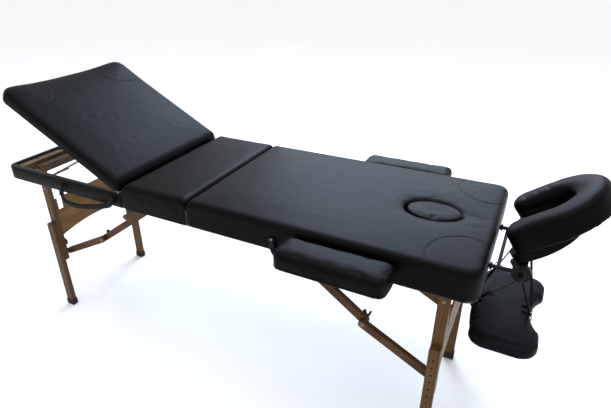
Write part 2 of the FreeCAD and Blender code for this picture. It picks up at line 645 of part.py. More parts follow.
# ---- carrying strap ------------------------------------------------------------------------
def carry_strap():
    """Limp handle band on the back half's front rail, held by a stud at each end."""
    bars = [link(a, b, CARRY_WIDE, *CARRY_Y) for a, b in zip(STRAP_ROUTE, STRAP_ROUTE[1:])]
    ends = [rod_y(x, z, 7, CARRY_Y[0] - 1.5, -HALF_WIDTH) for x, z in (STRAP_ROUTE[0], STRAP_ROUTE[-1])]
    return bars[0].fuse(bars[1:] + ends)


# ---- the whole table -----------------------------------------------------------------------
def leg_set(half, place):
    """Every leg and brace piece of one half; place mirrors it where needed."""
    save(half + "_leg_pivot_rod", place(leg_pivot_rod()))
    save(half + "_brace_anchors", place(brace_anchors()))
    save(half + "_upper_legs", place(upper_legs()))
    save(half + "_head_rail", place(head_rail()))
    save(half + "_leg_panel", place(leg_panel()))
    save(half + "_brace_pins", place(brace_pins()))
    save(half + "_upper_braces", place(upper_braces()))
    save(half + "_lower_braces", place(lower_braces()))
    for side, turn in (("front", flip_y), ("rear", lambda shape: shape)):
        save(half + "_lower_leg_" + side, place(turn(lower_leg())))
        save(half + "_foot_" + side, place(turn(foot())))
        save(half + "_leg_knob_" + side, place(turn(leg_knob())))


def long_half():
    save("long_side_rails", side_rails().cut(armrest_bores()))
    save("long_cross_rails", Part.makeCompound([end_rail(), fold_rail()]))
    save("long_deck", long_deck())
    save("long_pad", long_pad())
    save("long_skirt", long_skirt())
    save("long_socket_blocks", socket_blocks())
    save("long_hinge_leaf", fold_leaf(0))
    save("face_hole_plug", face_hole_plug())
    leg_set("long", lambda shape: shape)
    for side, turn in (("front", flip_y), ("rear", lambda shape: shape)):
        save("armrest_%s_pad" % side, turn(armrest_pad()))
        save("armrest_%s_bracket" % side, turn(armrest_bracket()))


def back_half():
    save("back_side_rails", flip_x(side_rails()))
    cross = [flip_x(end_rail()), flip_x(fold_rail()), backrest_hinge_rail()]
    save("back_cross_rails", Part.makeCompound(cross))
    save("seat_deck", seat_deck())
    save("seat_pad", seat_pad())
    save("back_side_vinyl", back_side_vinyl())
    save("back_socket_blocks", flip_x(socket_blocks()))
    leaves = [flip_x(fold_leaf(1)), backrest_rail_leaf(), backrest_pin()]
    save("back_hinge_leaves", Part.makeCompound(leaves))
    save("prop_racks", prop_racks())
    save("back_carry_strap", carry_strap())
    leg_set("back", flip_x)
    save("backrest_board", backrest_board())
    save("backrest_pad", backrest_pad())
    save("backrest_hinge_leaf", Part.makeCompound([backrest_leaf()] + backrest_clips().Solids))
    save("backrest_prop", backrest_prop())


def cradle_end():
    save("cradle_frame", cradle_frame())
    save("cradle_platform", cradle_platform())
    save("face_cushion", face_cushion())
    save("cam_lever", cam_lever())
    save("arm_shelf", arm_shelf())
    save("shelf_straps", shelf_straps())


os.makedirs(OUT, exist_ok=True)
long_half()
back_half()
save("fold_hinge_pins", fold_pins())
cradle_end()
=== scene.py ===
import math

import bmesh
import bpy
import numpy as np
from mathutils import Matrix, Vector, noise
from mathutils.bvhtree import BVHTree


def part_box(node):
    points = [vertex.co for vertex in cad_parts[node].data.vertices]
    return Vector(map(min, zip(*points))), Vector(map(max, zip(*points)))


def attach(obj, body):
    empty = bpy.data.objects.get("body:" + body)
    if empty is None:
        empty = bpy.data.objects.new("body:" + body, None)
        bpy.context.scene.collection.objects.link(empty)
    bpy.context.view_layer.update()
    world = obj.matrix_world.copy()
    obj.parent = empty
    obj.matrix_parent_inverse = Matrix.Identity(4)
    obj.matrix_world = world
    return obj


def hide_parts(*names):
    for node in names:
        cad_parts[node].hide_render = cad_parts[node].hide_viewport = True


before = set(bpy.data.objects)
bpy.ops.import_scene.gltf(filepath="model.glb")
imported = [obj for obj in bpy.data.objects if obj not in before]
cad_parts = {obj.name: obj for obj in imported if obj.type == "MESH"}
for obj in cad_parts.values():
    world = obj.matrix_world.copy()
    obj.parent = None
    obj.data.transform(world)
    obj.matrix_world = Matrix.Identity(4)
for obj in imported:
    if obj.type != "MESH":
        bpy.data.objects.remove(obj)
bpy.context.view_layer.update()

# ---- places, in metres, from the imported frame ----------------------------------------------
def middle(node):
    low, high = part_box(node)
    return (low + high) / 2


FOLD_X = middle("fold_hinge_pins").x
PAD_LOW, PAD_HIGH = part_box("long_pad")
TOP, DECK_TOP, RAIL_LOW = PAD_HIGH.z, PAD_LOW.z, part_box("long_skirt")[0].z
RAIL_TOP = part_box("long_side_rails")[1].z
HALF_WIDTH = 0.300
HALF_LENGTH = 0.925
CORNER_R = 0.042
HINGE = Vector((FOLD_X - 0.300, 0, 0.715))
BACK_TILT = math.radians(27.5)
CRADLE = Vector((FOLD_X + 1.008, 0, 0.693))
CRADLE_TILT = math.radians(36)
WAIST = 0.030                          # depth of the shelf's curved-in outer edge
SKIN = 0.0026                          # vinyl of a cover with an open underside
PANEL_OUT = 0.8521                     # leg panel's outer face, from the fold
LEG_OUT_Y = 0.2201
BRACE_R = 0.014
UPPER_BRACE_IN, LOWER_BRACE_OUT = 0.149, 0.186
HUB_OUT_Y, AXLE_END_Y, ROD_Y = 0.127, 0.158, 0.120
SLEEVE_Y, STRAP_END_Y = 0.151, 0.016
BLOCK_X, BLOCK_TOP = 0.884, 0.7161     # socket blocks' screws
WRAP_IN = 0.0254                       # inner face of the vinyl round the open frame
BACK_PATCH = [(0.0, 0.0185), (-0.008, 0.062), (-0.004, 0.10), (0.012, 0.134), (0.035, 0.155),
              (0.072, 0.176), (0.106, 0.176), (0.1375, 0.166)]
# Carrying straps, as (x, z) from the fold down the middle of the band.
BACK_STRAP = [(-0.590, 0.706), (-0.596, 0.655), (-0.574, 0.636), (-0.520, 0.634), (-0.435, 0.650),
              (-0.356, 0.674), (-0.334, 0.690), (-0.326, 0.710)]
LONG_STRAP = [(0.327, 0.712), (0.332, 0.680), (0.350, 0.656), (0.400, 0.642), (0.470, 0.636),
              (0.540, 0.640), (0.585, 0.657), (0.593, 0.680)]


# ---- node helpers --------------------------------------------------------------------------
class Shader:
    """A node material under construction, with its Principled shader as bsdf."""

    def __init__(self, name):
        self.material = bpy.data.materials.new(name)
        self.material.use_nodes = True
        self.tree = self.material.node_tree
        self.bsdf = self.tree.nodes["Principled BSDF"]

    def node(self, kind, **values):
        made = self.tree.nodes.new("ShaderNode" + kind)
        for key, value in values.items():
            if key in made.inputs:
                made.inputs[key].default_value = value
            else:
                setattr(made, key, value)
        return made

    def join(self, output, target):
        self.tree.links.new(output, target)

    def coords(self, scale=(1, 1, 1), turn=(0, 0, 0)):
        place = self.node("TexCoord")
        mapping = self.node("Mapping")
        mapping.inputs["Scale"].default_value = scale
        mapping.inputs["Rotation"].default_value = turn
        self.join(place.outputs["Object"], mapping.inputs["Vector"])
        return mapping.outputs["Vector"]

    def noise(self, vector, scale, detail=4.0, rough=0.5):
        made = self.node("TexNoise", Scale=scale, Detail=detail, Roughness=rough)
        self.join(vector, made.inputs["Vector"])
        return made.outputs["Fac"]

    def ramp(self, value, stops):
        made = self.node("ValToRGB")
        ramp = made.color_ramp
        while len(ramp.elements) < len(stops):
            ramp.elements.new(0.5)
        for element, (place, colour) in zip(ramp.elements, stops):
            element.position = place
            element.color = (*colour, 1)
        self.join(value, made.inputs["Fac"])
        return made.outputs["Color"]

    def mix(self, fac, a, b, blend="MIX"):
        made = self.node("Mix", data_type="RGBA", blend_type=blend)
        for value, index in ((fac, 0), (a, 6), (b, 7)):
            if isinstance(value, bpy.types.NodeSocket):
                self.join(value, made.inputs[index])
            else:
                made.inputs[index].default_value = value
        return made.outputs[2]

    def span(self, value, low, high):
        made = self.node("MapRange")
        made.inputs["To Min"].default_value = low
        made.inputs["To Max"].default_value = high
        self.join(value, made.inputs["Value"])
        return made.outputs["Result"]

    def bump(self, heights):
        """Chained bumps from (height, strength, distance) triples."""
        normal = None
        for height, strength, distance in heights:
            made = self.node("Bump", Strength=strength, Distance=distance)
            self.join(height, made.inputs["Height"])
            if normal is not None:
                self.join(normal, made.inputs["Normal"])
            normal = made.outputs["Normal"]
        self.join(normal, self.bsdf.inputs["Normal"])

    def set(self, **values):
        for key, value in values.items():
            self.bsdf.inputs[key.replace("_", " ")].default_value = value


def vinyl(name, dark=(0.0008, 0.0008, 0.0010), light=(0.0018, 0.0019, 0.0025), specular=0.058):
    """Soft black synthetic leather: pebbled grain, faint clouding, uneven gloss."""
    s = Shader(name)
    place = s.coords()
    cloud = s.noise(place, 9.0, 5.0)
    s.join(s.ramp(cloud, [(0.30, dark), (0.72, light)]), s.bsdf.inputs["Base Color"])
    cells = s.node("TexVoronoi", Scale=720.0, Randomness=1.0)
    warp = s.noise(place, 240.0, 2.0)
    bent = s.node("VectorMath", operation="MULTIPLY_ADD")
    s.join(warp, bent.inputs[0])
    bent.inputs[1].default_value = (0.0012, 0.0012, 0.0012)
    s.join(place, bent.inputs[2])
    s.join(bent.outputs["Vector"], cells.inputs["Vector"])
    creases = s.noise(s.coords((1, 1.6, 1), (0, 0, 0.5)), 7.0, 3.0, 0.5)
    scuff = s.noise(place, 60.0, 6.0, 0.7)
    s.join(s.span(scuff, 0.36, 0.45), s.bsdf.inputs["Roughness"])
    s.bump([(creases, 0.05, 0.005), (cells.outputs["Distance"], 0.16, 0.0006),
            (s.noise(place, 2400.0, 2.0), 0.08, 0.0003)])
    s.set(Specular_IOR_Level=specular)
    return s.material


def timber(name, dark, mid, light, along="Z"):
    """Lacquered solid wood with grain along one axis, pores and end-grain variation."""
    s = Shader(name)
    stretch = {"X": (0.05, 1, 1), "Y": (1, 0.05, 1), "Z": (1, 1, 0.05)}[along]
    place = s.coords(stretch)
    rings = s.node("TexWave", Scale=38.0, Distortion=7.0, Detail=4.0, wave_type="BANDS")
    rings.inputs["Detail Scale"].default_value = 1.4
    s.join(place, rings.inputs["Vector"])
    broad = s.noise(place, 26.0, 4.0)
    fibre = s.noise(place, 420.0, 6.0, 0.65)
    base = s.ramp(broad, [(0.25, dark), (0.5, mid), (0.8, light)])
    ringed = s.mix(0.30, base, s.ramp(rings.outputs["Fac"], [(0.2, dark), (0.9, light)]))
    streaked = s.mix(s.span(fibre, 0.0, 0.55), ringed, (*[c * 0.55 for c in dark], 1))
    worn = s.mix(s.span(s.noise(s.coords(), 14.0, 3.0), -0.25, 0.45), streaked, (*light, 1))
    s.join(worn, s.bsdf.inputs["Base Color"])
    s.join(s.span(s.noise(s.coords(), 55.0, 4.0), 0.34, 0.58), s.bsdf.inputs["Roughness"])
    s.bump([(fibre, 0.16, 0.0006), (rings.outputs["Fac"], 0.06, 0.0008)])
    s.set(Specular_IOR_Level=0.18)
    return s.material


def plywood(name, dark, light):
    """Lacquered plywood face with broad cathedral grain."""
    s = Shader(name)
    place = s.coords((1, 0.09, 0.9))
    wave = s.node("TexWave", Scale=9.0, Distortion=11.0, Detail=4.0, wave_type="BANDS")
    s.join(place, wave.inputs["Vector"])
    fibre = s.noise(s.coords((1, 0.04, 1)), 380.0, 6.0, 0.65)
    base = s.ramp(wave.outputs["Fac"], [(0.1, dark), (0.85, light)])
    s.join(s.mix(s.span(fibre, 0.0, 0.4), base, (*[c * 0.6 for c in dark], 1)),
           s.bsdf.inputs["Base Color"])
    s.join(s.span(s.noise(s.coords(), 40.0), 0.42, 0.62), s.bsdf.inputs["Roughness"])
    s.bump([(fibre, 0.14, 0.0005)])
    s.set(Specular_IOR_Level=0.18)
    return s.material


def metal(name, dark, light, rough=(0.22, 0.42), metallic=1.0, specular=0.5):
    """Plated or painted steel with faint brushing, spots of wear and uneven gloss."""
    s = Shader(name)
    spots = s.noise(s.coords(), 130.0, 6.0, 0.7)
    brush = s.noise(s.coords((1, 0.03, 1)), 900.0, 3.0)
    s.join(s.ramp(spots, [(0.32, dark), (0.68, light)]), s.bsdf.inputs["Base Color"])
    s.join(s.span(spots, *rough), s.bsdf.inputs["Roughness"])
    s.bump([(brush, 0.10, 0.0002), (spots, 0.08, 0.0004)])
    s.set(Metallic=metallic, Specular_IOR_Level=specular)
    return s.material


def moulded(name, dark, light, rough=(0.40, 0.60), grain=600.0, specular=0.16):
    """Moulded plastic or rubber with a fine spark texture."""
    s = Shader(name)
    place = s.coords()
    s.join(s.ramp(s.noise(place, 45.0), [(0.3, dark), (0.7, light)]), s.bsdf.inputs["Base Color"])
    s.join(s.span(s.noise(place, 90.0), *rough), s.bsdf.inputs["Roughness"])
    s.bump([(s.noise(place, grain, 3.0), 0.22, 0.0004)])
    s.set(Specular_IOR_Level=specular)
    return s.material


def webbing(name, pitch=0.0022):
    """Flat woven nylon: a checked weave of raised yarns."""
    s = Shader(name)
    waves = []
    for axis in ("X", "Z"):
        wave = s.node("TexWave", Scale=1 / (pitch * 6.3), Distortion=0.3, bands_direction=axis)
        s.join(s.coords(), wave.inputs["Vector"])
        waves.append(wave.outputs["Fac"])
    weave = s.mix(1.0, waves[0], waves[1], "MULTIPLY")
    s.join(s.ramp(weave, [(0.0, (0.001, 0.001, 0.001)), (1.0, (0.005, 0.005, 0.006))]),
           s.bsdf.inputs["Base Color"])
    s.join(s.span(weave, 0.55, 0.8), s.bsdf.inputs["Roughness"])
    s.bump([(weave, 0.6, 0.0006)])
    s.set(Specular_IOR_Level=0.08)
    return s.material


def pale_floor(name):
    s = Shader(name)
    s.join(s.ramp(s.noise(s.coords(), 1.3, 3.0), [(0.3, (0.89, 0.89, 0.89)), (0.7, (0.905, 0.905, 0.905))]),
           s.bsdf.inputs["Base Color"])
    s.set(Roughness=0.9, Specular_IOR_Level=0.1)
    return s.material


VINYL = vinyl("black_vinyl_soft")
VINYL_SEAM = vinyl("black_vinyl_seam", (0.0008, 0.0008, 0.0008), (0.0014, 0.0014, 0.0015), 0.05)
LEG_WOOD = timber("leg_wood", (0.046, 0.018, 0.005), (0.090, 0.040, 0.010), (0.150, 0.076, 0.024))
RAIL_WOOD = timber("rail_wood", (0.045, 0.024, 0.011), (0.085, 0.049, 0.024), (0.14, 0.09, 0.047), "X")
CROSS_WOOD = timber("cross_wood", (0.036, 0.019, 0.008), (0.070, 0.039, 0.018), (0.12, 0.073, 0.038), "Y")
BLOCK_WOOD = timber("block_wood", (0.075, 0.040, 0.020), (0.14, 0.084, 0.044), (0.22, 0.145, 0.083), "Y")
BRACE_WOOD = timber("brace_wood", (0.044, 0.015, 0.004), (0.084, 0.032, 0.008), (0.138, 0.060, 0.019), "X")
PLY = plywood("panel_plywood", (0.150, 0.075, 0.022), (0.235, 0.128, 0.046))
DECK = plywood("deck_plywood", (0.10, 0.058, 0.026), (0.16, 0.10, 0.048))
BRASS = metal("brass_plate", (0.50, 0.33, 0.12), (0.78, 0.58, 0.28))
ZINC = metal("zinc_steel", (0.10, 0.096, 0.092), (0.22, 0.21, 0.20))
BLACK_STEEL = metal("black_steel", (0.0015, 0.0015, 0.002), (0.005, 0.005, 0.0055), (0.30, 0.5), 0.0,
                    0.16)
PLASTIC = moulded("black_plastic", (0.002, 0.002, 0.002), (0.006, 0.006, 0.006))
RUBBER = moulded("foot_rubber", (0.010, 0.009, 0.008), (0.026, 0.022, 0.019), (0.65, 0.85), 300.0)
BOARD = moulded("black_board", (0.0010, 0.0010, 0.0012), (0.003, 0.003, 0.0034), (0.5, 0.7), 200.0,
                0.06)
WEB = webbing("nylon_webbing")
SHELF_VINYL = vinyl("shelf_vinyl", (0.0030, 0.0025, 0.0036), (0.0055, 0.0045, 0.0064), 0.05)
CUSHION_VINYL = vinyl("cushion_vinyl", specular=0.046)
STRAP = moulded("strap_vinyl", (0.0010, 0.0010, 0.0012), (0.003, 0.003, 0.0034), (0.38, 0.55), 900.0,
                0.08)
THREAD = moulded("thread", (0.002, 0.002, 0.002), (0.005, 0.005, 0.006), (0.5, 0.7), 2500.0)


# ---- finishes of the CAD nodes that stay ---------------------------------------------------
def finish_cad():
    finishes = {
        "long_side_rails": RAIL_WOOD, "back_side_rails": RAIL_WOOD,
        "long_cross_rails": CROSS_WOOD, "back_cross_rails": CROSS_WOOD,
        "long_socket_blocks": BLOCK_WOOD, "back_socket_blocks": BLOCK_WOOD,
        "long_deck": DECK, "seat_deck": DECK, "backrest_board": DECK,
        "prop_racks": RAIL_WOOD, "fold_hinge_pins": BRASS, "long_hinge_leaf": BRASS,
        "back_hinge_leaves": BRASS, "backrest_hinge_leaf": BRASS, "backrest_prop": ZINC,
        "cradle_frame": BLACK_STEEL, "cradle_platform": BOARD, "cam_lever": PLASTIC,
        "armrest_front_bracket": BLACK_STEEL, "armrest_rear_bracket": BLACK_STEEL,
        "shelf_straps": WEB,
    }
    for half in ("long", "back"):
        finishes[half + "_upper_legs"] = LEG_WOOD
        finishes[half + "_head_rail"] = CROSS_WOOD
        finishes[half + "_leg_panel"] = PLY
        finishes[half + "_brace_pins"] = ZINC
        finishes[half + "_brace_anchors"] = ZINC
        finishes[half + "_leg_pivot_rod"] = BRASS
        finishes[half + "_upper_braces"] = BRACE_WOOD
        finishes[half + "_lower_braces"] = BRACE_WOOD
        for side in ("front", "rear"):
            finishes["%s_lower_leg_%s" % (half, side)] = LEG_WOOD
            finishes["%s_foot_%s" % (half, side)] = RUBBER
            finishes["%s_leg_knob_%s" % (half, side)] = PLASTIC
    for node, material in finishes.items():
        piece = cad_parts[node]
        piece.data.materials.clear()
        piece.data.materials.append(material)
        if material in (LEG_WOOD, RAIL_WOOD, CROSS_WOOD, BLOCK_WOOD, BRACE_WOOD, BOARD, PLASTIC, RUBBER):
            edge = piece.modifiers.new("worn_edges", "BEVEL")
            edge.width = 0.0016
            edge.segments = 2
            edge.limit_method = "ANGLE"
            edge.angle_limit = math.radians(50)
            edge.harden_normals = False


# ---- mesh helpers --------------------------------------------------------------------------
def new_piece(name, verts, faces, material, smooth=True):
    mesh = bpy.data.meshes.new(name)
    mesh.from_pydata([tuple(v) for v in verts], [], faces)
    mesh.validate()
    mesh.materials.append(material)
    if smooth:
        mesh.shade_smooth()
    piece = bpy.data.objects.new(name, mesh)
    bpy.context.scene.collection.objects.link(piece)
    return piece


def apply_modifiers(piece):
    graph = bpy.context.evaluated_depsgraph_get()
    graph.update()
    mesh = bpy.data.meshes.new_from_object(piece.evaluated_get(graph))
    piece.modifiers.clear()
    piece.data = mesh
    return piece


def subdivide(piece, levels=1):
    step = piece.modifiers.new("smooth", "SUBSURF")
    step.levels = step.render_levels = levels
    return apply_modifiers(piece)


def ring(x0, x1, y1, radii, inset, z, counts):
    """One closed loop round a rectangle with its own radius at each corner, pulled in by inset."""
    nx, ny, nc = counts
    x0, x1, y0, y1 = x0 + inset, x1 - inset, -y1 + inset, y1 - inset
    corners = [(x1, y0, -90), (x1, y1, 0), (x0, y1, 90), (x0, y0, 180)]
    sizes = [max(r - inset, 0.0004) for r in radii]
    limit = max(min(x1 - x0, y1 - y0) / 2, 0.0001)
    sizes = [min(r, limit) for r in sizes]
    points = []
    for i, (cx, cy, start) in enumerate(corners):
        r = sizes[i]
        ox = cx - r if cx == x1 else cx + r
        oy = cy - r if cy == y1 else cy + r
        for k in range(nc + 1):
            a = math.radians(start + 90 * k / nc)
            points.append((ox + r * math.cos(a), oy + r * math.sin(a)))
        rn = sizes[(i + 1) % 4]
        onward = [(x1, y1 - rn), (x0 + rn, y1), (x0, y0 + rn), (x1 - rn, y0)][i]
        last = points[-1]
        steps = (ny, nx, ny, nx)[i]
        for k in range(1, steps):
            f = k / steps
            points.append((last[0] + (onward[0] - last[0]) * f, last[1] + (onward[1] - last[1]) * f))
    return [(x, y, z) for x, y in points]


def ring_pad(name, x0, x1, half, radii, profile, counts, material):
    """Closed upholstered form from a profile of (inset, z) pairs, from underside to top."""
    verts, faces = [], []
    for inset, z in profile:
        verts += ring(x0, x1, half, radii, inset, z, counts)
    n = len(verts) // len(profile)
    for j in range(len(profile) - 1):
        for i in range(n):
            a, b = j * n + i, j * n + (i + 1) % n
            faces.append((a, b, b + n, a + n))
    last = (len(profile) - 1) * n
    faces.append(tuple(range(last, last + n)))
    faces.append(tuple(reversed(range(n))))
    return new_piece(name, verts, faces, material)


def arc(cx, cz, r, a0, a1, steps):
    return [(cx + r * math.cos(math.radians(a0 + (a1 - a0) * k / steps)),
             cz + r * math.sin(math.radians(a0 + (a1 - a0) * k / steps))) for k in range(steps + 1)]


def coordinates(piece):
    co = np.empty(len(piece.data.vertices) * 3)
    piece.data.vertices.foreach_get("co", co)
    return co.reshape(-1, 3)


def set_coordinates(piece, co):
    piece.data.vertices.foreach_set("co", np.ascontiguousarray(co).ravel())
    piece.data.update()


def blur(value, low, high):
    """Smooth step, 0 at low and 1 at high."""
    t = np.clip((value - low) / (high - low), 0, 1)
    return t * t * (3 - 2 * t)


def distance_to_path(co, path):
    """Each vertex's least distance in plan to a polyline of (x, y) points."""
    best = np.full(len(co), 1e9)
    for (ax, ay), (bx, by) in zip(path, path[1:]):
        dx, dy = bx - ax, by - ay
        t = np.clip(((co[:, 0] - ax) * dx + (co[:, 1] - ay) * dy) / (dx * dx + dy * dy), 0, 1)
        best = np.minimum(best, np.hypot(co[:, 0] - ax - t * dx, co[:, 1] - ay - t * dy))
    return best


def ripple(co, scale, seed):
    """Smooth random field over the vertices, about -1 to 1."""
    offset = Vector((seed * 3.7, seed * 1.9, seed * 5.3))
    return np.array([noise.noise(Vector(p) * scale + offset) for p in co])


def turn_about(piece, point, angle):
    """Turns the mesh about the Y axis through a point; positive raises the +X side."""
    move = Matrix.Translation(point) @ Matrix.Rotation(-angle, 4, "Y") @ Matrix.Translation(-point)
    piece.data.transform(move)
    return piece


def bezier(points, steps=14):
    """Catmull-Rom curve through the given points."""
    full = [points[0]] + list(points) + [points[-1]]
    line = []
    for a, b, c, d in zip(full, full[1:], full[2:], full[3:]):
        a, b, c, d = Vector(a), Vector(b), Vector(c), Vector(d)
        for k in range(steps):
            t = k / steps
            line.append(0.5 * ((2 * b) + (c - a) * t + (2 * a - 5 * b + 4 * c - d) * t * t
                               + (3 * b - a - 3 * c + d) * t ** 3))
    return line + [Vector(points[-1])]


def tube(name, path, radius, material, sides=8, closed=False):
    """Round tube along a list of points."""
    verts, faces = [], []
    n = len(path)
    for i, p in enumerate(path):
        before = path[i - 1] if closed or i else path[0]
        after = path[(i + 1) % n] if closed or i < n - 1 else path[-1]
        along = (Vector(after) - Vector(before)).normalized()
        side = along.cross(Vector((0, 0, 1)))
        if side.length < 1e-4:
            side = along.cross(Vector((0, 1, 0)))
        side.normalize()
        up = side.cross(along)
        for k in range(sides):
            a = 2 * math.pi * k / sides
            verts.append(Vector(p) + side * radius * math.cos(a) + up * radius * math.sin(a))
    for i in range(n if closed else n - 1):
        for k in range(sides):
            a, b = i * sides + k, i * sides + (k + 1) % sides
            c, d = ((i + 1) % n) * sides + (k + 1) % sides, ((i + 1) % n) * sides + k
            faces.append((a, b, c, d))
    if not closed:
        faces.append(tuple(reversed(range(sides))))
        faces.append(tuple(range((n - 1) * sides, n * sides)))
    return new_piece(name, verts, faces, material)


def stitches(name, path, length, gap, radius, material):
    """Row of short thread stitches along a path, each a little capsule bent into the surface."""
    total, verts, faces = 0.0, [], []
    due = gap
    for a, b in zip(path, path[1:]):
        a, b = Vector(a), Vector(b)
        span = (b - a).length
        while due <= total + span:
            mid = a + (b - a) * ((due - total) / span)
            along = (b - a).normalized()
            side = along.cross(Vector((0, 0, 1))).normalized()
            up = side.cross(along)
            base = len(verts)
            for f, r in ((-0.5, 0.2), (-0.3, 0.9), (0.0, 1.0), (0.3, 0.9), (0.5, 0.2)):
                for k in range(6):
                    t = 2 * math.pi * k / 6
                    verts.append(mid + along * length * f + side * radius * r * math.cos(t)
                                 + up * (radius * r * math.sin(t) - (f * f) * radius * 3))
            for j in range(4):
                for k in range(6):
                    p, q = base + j * 6 + k, base + j * 6 + (k + 1) % 6
                    faces.append((p, q, q + 6, p + 6))
            faces.append(tuple(reversed(range(base, base + 6))))
            faces.append(tuple(range(base + 24, base + 30)))
            due += length + gap
        total += span
    return new_piece(name, verts, faces, material)


# ---- stuffed pieces ------------------------------------------------------------------------
def remesh(piece, voxel, rounds=0):
    """Even quads over a closed form, with its edges eased by some smoothing rounds."""
    step = piece.modifiers.new("even", "REMESH")
    step.mode = "VOXEL"
    step.voxel_size = voxel
    if rounds:
        ease = piece.modifiers.new("ease", "SMOOTH")
        ease.iterations = rounds
    return apply_modifiers(piece)


def stuff(piece, cap, seed):
    """Swells a closed form like foam in a sewn cover. cap gives each point's most travel."""
    scene = bpy.context.scene
    before = coordinates(piece)
    limit = cap(before)[:, None]
    piece.data.shade_smooth()
    cloth = piece.modifiers.new("cover", "CLOTH")
    settings = cloth.settings
    settings.quality = 4
    settings.mass = 0.35
    settings.tension_stiffness = settings.compression_stiffness = 18
    settings.shear_stiffness = 6
    settings.bending_stiffness = 0.6
    settings.use_pressure = True
    settings.uniform_pressure_force = 4.0
    settings.effector_weights.gravity = 0
    cloth.collision_settings.use_collision = False
    cloth.collision_settings.use_self_collision = False
    cloth.point_cache.frame_start, cloth.point_cache.frame_end = 1, 20
    for frame_number in range(1, 21):
        scene.frame_set(frame_number)
    apply_modifiers(piece)
    scene.frame_set(1)
    travel = coordinates(piece) - before
    length = np.linalg.norm(travel, axis=1)[:, None] + 1e-9
    travel *= limit * np.tanh(length / np.maximum(limit, 1e-6)) / length
    creases = ripple(before, 34.0, seed)[:, None] * 0.10
    set_coordinates(piece, before + travel * (1 + creases))
    return piece


def drop_faces(piece, test):
    """Deletes the faces whose centre and normal pass the test."""
    mesh = bmesh.new()
    mesh.from_mesh(piece.data)
    gone = [f for f in mesh.faces if test(f.calc_center_median(), f.normal)]
    bmesh.ops.delete(mesh, geom=gone, context="FACES")
    mesh.to_mesh(piece.data)
    mesh.free()
    return piece


def thicken(piece, thickness):
    step = piece.modifiers.new("thickness", "SOLIDIFY")
    step.thickness = thickness
    step.offset = -1
    return apply_modifiers(piece)


def shell_block(name, x0, x1, radii, z0, z1, edge):
    """Closed block with one rounded top edge all the way round."""
    profile = [(0.0, z0), (0.0, (z0 + z1) / 2)]
    profile += [(edge + cx, z1 - edge + cz) for cx, cz in
                [(-a, b) for a, b in arc(0, 0, edge, 0, 90, 5)]]
    return ring_pad(name, x0, x1, HALF_WIDTH, radii, profile, (12, 8, 5), VINYL)


def from_node(name, node, material):
    """A new piece on a copy of a CAD node's mesh."""
    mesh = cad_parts[node].data.copy()
    mesh.materials.clear()
    mesh.materials.append(material)
    for face in mesh.polygons:
        face.material_index = 0
    piece = bpy.data.objects.new(name, mesh)
    bpy.context.scene.collection.objects.link(piece)
    return piece


def on_surface(piece, path, lift=0.0, direction=Vector((0, 0, -1)), start=0.3):
    """The path's points dropped along a direction on to the piece."""
    tree = BVHTree.FromPolygons([v.co for v in piece.data.vertices],
                                [p.vertices[:] for p in piece.data.polygons])
    placed = []
    for point in path:
        hit = tree.ray_cast(Vector(point) - direction * start, direction)[0]
        if hit is not None:
            placed.append(hit - direction * lift)
    return placed


def groove(piece, path, half, depth):
    """Presses a rounded channel down along an (x, y) path in the top of a pad."""
    co = coordinates(piece)
    near = distance_to_path(co, [(p[0], p[1]) for p in path])
    normals = np.empty(len(co) * 3)
    piece.data.vertices.foreach_get("normal", normals)
    up = blur(normals.reshape(-1, 3)[:, 2], 0.2, 0.7)
    co[:, 2] -= depth * np.clip(1 - near / half, 0, 1) ** 1.5 * up
    set_coordinates(piece, co)


def edge_distance(co, x0, x1, half):
    return np.minimum(np.minimum(co[:, 0] - x0, x1 - co[:, 0]), half - np.abs(co[:, 1]))


def cover_block(name, x0, x1, radii, z0, z1, edge, voxel, crown, seed, hole=None, hinge=None):
    """Block, remeshed and stuffed. hinge is (x, lean, from z) for an end face that leans."""
    piece = shell_block(name, x0, x1, radii, z0, z1 - crown * 0.8, edge)
    if hole is not None:
        cutter = new_piece("cutter", *oval_column(hole, z0 - 0.05, z1 + 0.05), VINYL)
        step = piece.modifiers.new("hole", "BOOLEAN")
        step.operation = "DIFFERENCE"
        step.solver = "EXACT"
        step.object = cutter
        apply_modifiers(piece)
        bpy.data.objects.remove(cutter)
    remesh(piece, voxel, 2)
    low = coordinates(piece)
    side = low[:, 2] < z1 - edge - crown
    for axis, plane in ((0, x0), (0, x1), (1, -HALF_WIDTH), (1, HALF_WIDTH)):
        low[:, axis] = np.where(side & (np.abs(low[:, axis] - plane) < voxel * 0.6), plane, low[:, axis])
    set_coordinates(piece, low)
    if hinge is not None:
        end, lean, base = hinge
        weight = 1 - blur(np.abs(low[:, 0] - end), 0.02, 0.10)
        low[:, 0] += lean * np.clip((low[:, 2] - base) / (z1 - base), 0, 1) * weight
        set_coordinates(piece, low)

    def cap(co):
        inner = blur(edge_distance(co, x0, x1, HALF_WIDTH), 0.0, 0.16)
        raised = blur(co[:, 2], z1 - 0.05, z1 - 0.02)
        return raised * (0.0012 + crown * inner) + (1 - raised) * 0.0008

    stuff(piece, cap, seed)
    co = coordinates(piece)
    inner = blur(edge_distance(co, x0, x1, HALF_WIDTH), 0.0, 0.2)
    top = blur(co[:, 2], z1 - 0.03, z1 - 0.012)
    co[:, 2] += top * (0.0007 * ripple(co, 5.0, seed) + 0.0002 * ripple(co, 21.0, seed + 1)) * inner
    side = 1 - top
    out = np.sign(co[:, 1]) * side * (np.abs(co[:, 1]) > HALF_WIDTH - 0.02)
    co[:, 1] += out * 0.0008 * ripple(co, 13.0, seed + 2)
    set_coordinates(piece, co)
    return piece


